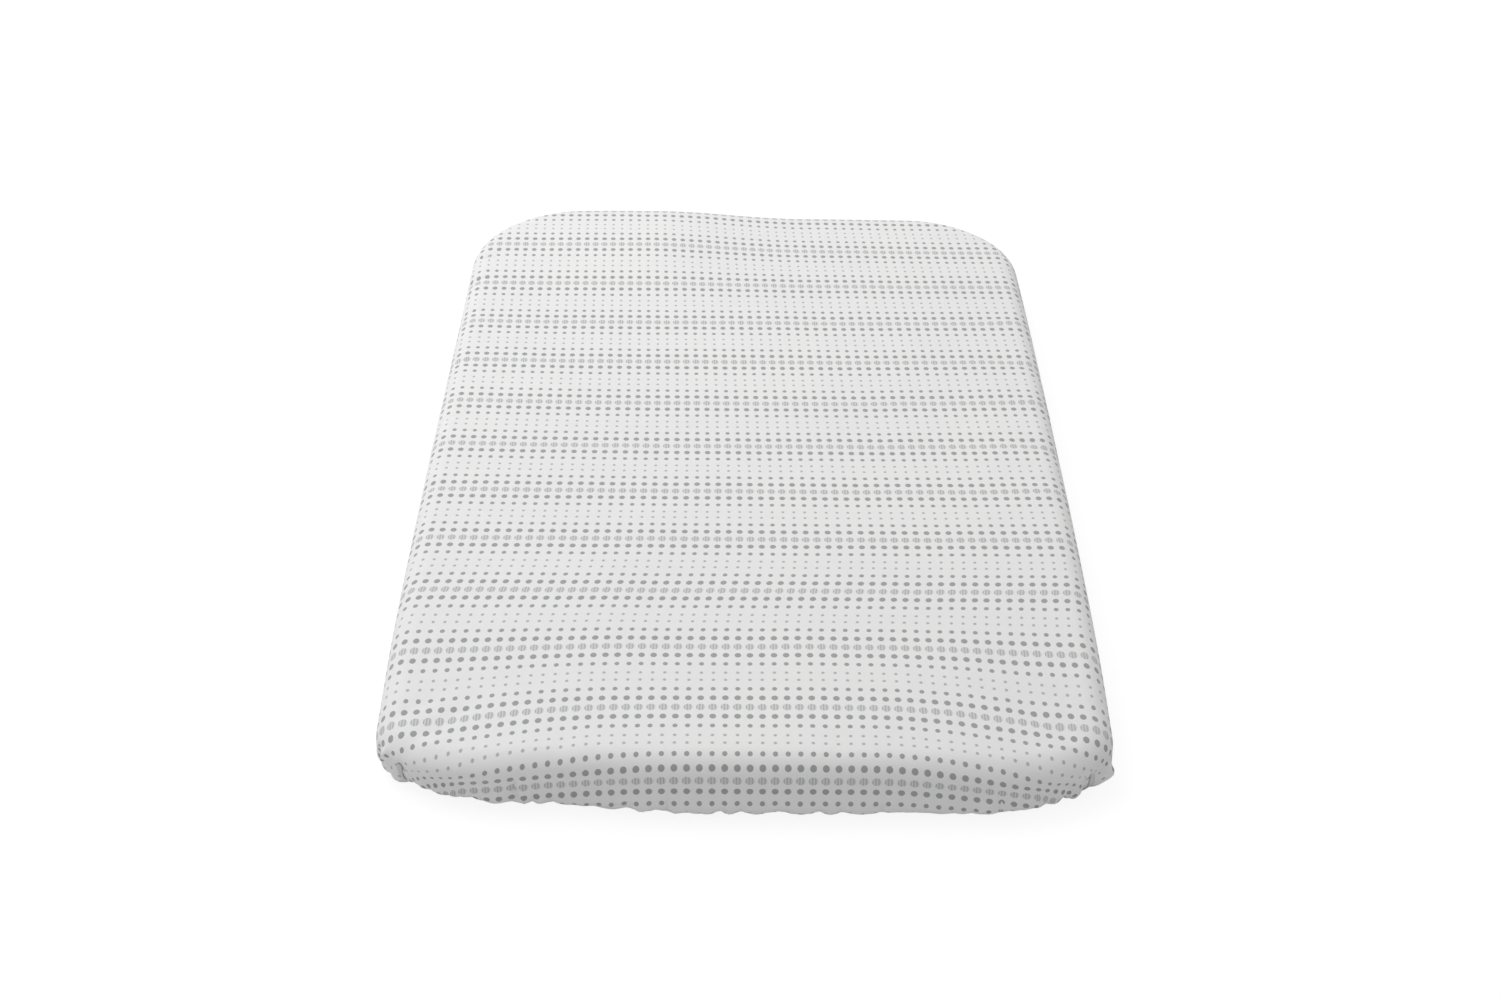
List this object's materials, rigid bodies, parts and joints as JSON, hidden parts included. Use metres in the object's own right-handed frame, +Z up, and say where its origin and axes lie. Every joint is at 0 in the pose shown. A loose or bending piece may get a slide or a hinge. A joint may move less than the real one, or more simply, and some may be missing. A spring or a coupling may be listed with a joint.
{
  "type": "memory foam mattress",
  "caption": "Thin rectangular memory foam mattress with rounded corners: glued foam layers in a zipped cover, under a dotted fitted sheet with an elastic hem.",
  "frame": {"origin": "centre of the footprint on the surface that the mattress lies on", "axes": "+X across the width, +Y along the length towards the head end, +Z up; the zip is near the foot end, at -Y"},
  "size_m": [0.5, 0.8, 0.05],
  "materials": {
    "support_foam": "firm open-cell foam",
    "foam_glue": "dried spray adhesive",
    "memory_foam": "soft slow foam",
    "cover_knit": "knitted polyester",
    "cover_border": "knitted polyester",
    "cover_underside": "woven ticking",
    "binding": "woven tape",
    "label": "blank woven label",
    "sheet": "plain weave, printed with rows of grey dots",
    "sheet_hem": "gathered plain weave",
    "elastic": "braided elastic",
    "sheet_seam": "overlocked seam allowance",
    "zip_tape": "woven zip tape",
    "zip_coil": "moulded nylon coil",
    "zip_stop": "moulded stop",
    "zip_metal": "white enamel"
  },
  "bodies": {
    "mattress": {"support_foam_base": "support_foam", "foam_glue_layer": "foam_glue", "memory_foam_layer": "memory_foam", "cover_top_panel": "cover_knit", "cover_border": "cover_border", "cover_bottom_panel_foot": "cover_underside", "cover_bottom_panel_head": "cover_underside", "cover_top_binding": "binding", "cover_bottom_binding": "binding", "cover_care_label": "label", "fitted_sheet": "sheet", "sheet_hem_casing": "sheet_hem", "sheet_hem_elastic": "elastic", "sheet_corner_seam_foot_left": "sheet_seam", "sheet_corner_seam_foot_right": "sheet_seam", "sheet_corner_seam_head_left": "sheet_seam", "sheet_corner_seam_head_right": "sheet_seam", "sheet_care_label": "label", "zip_tape_foot": "zip_tape", "zip_tape_head": "zip_tape", "zip_chain_foot": "zip_coil", "zip_chain_head": "zip_coil", "zip_top_stop_foot": "zip_stop", "zip_top_stop_head": "zip_stop", "zip_bottom_stop": "zip_stop"},
    "zip_slider": {"zip_slider_body": "zip_metal"},
    "zip_pull": {"zip_pull_tab": "zip_metal"}
  },
  "joints": [
    {"name": "zip_slide", "type": "slide", "parent": "mattress", "child": "zip_slider", "axis": [-1, 0, 0], "range_m": [0, 0.3048], "deforming": ["zip_chain_foot", "zip_chain_head"]},
    {"name": "zip_pull_swing", "type": "hinge", "parent": "zip_slider", "child": "zip_pull", "pos_m": [0.1543, -0.2471, 0.00235], "axis": [0, -1, 0], "range_deg": [0, 170]}
  ]
}
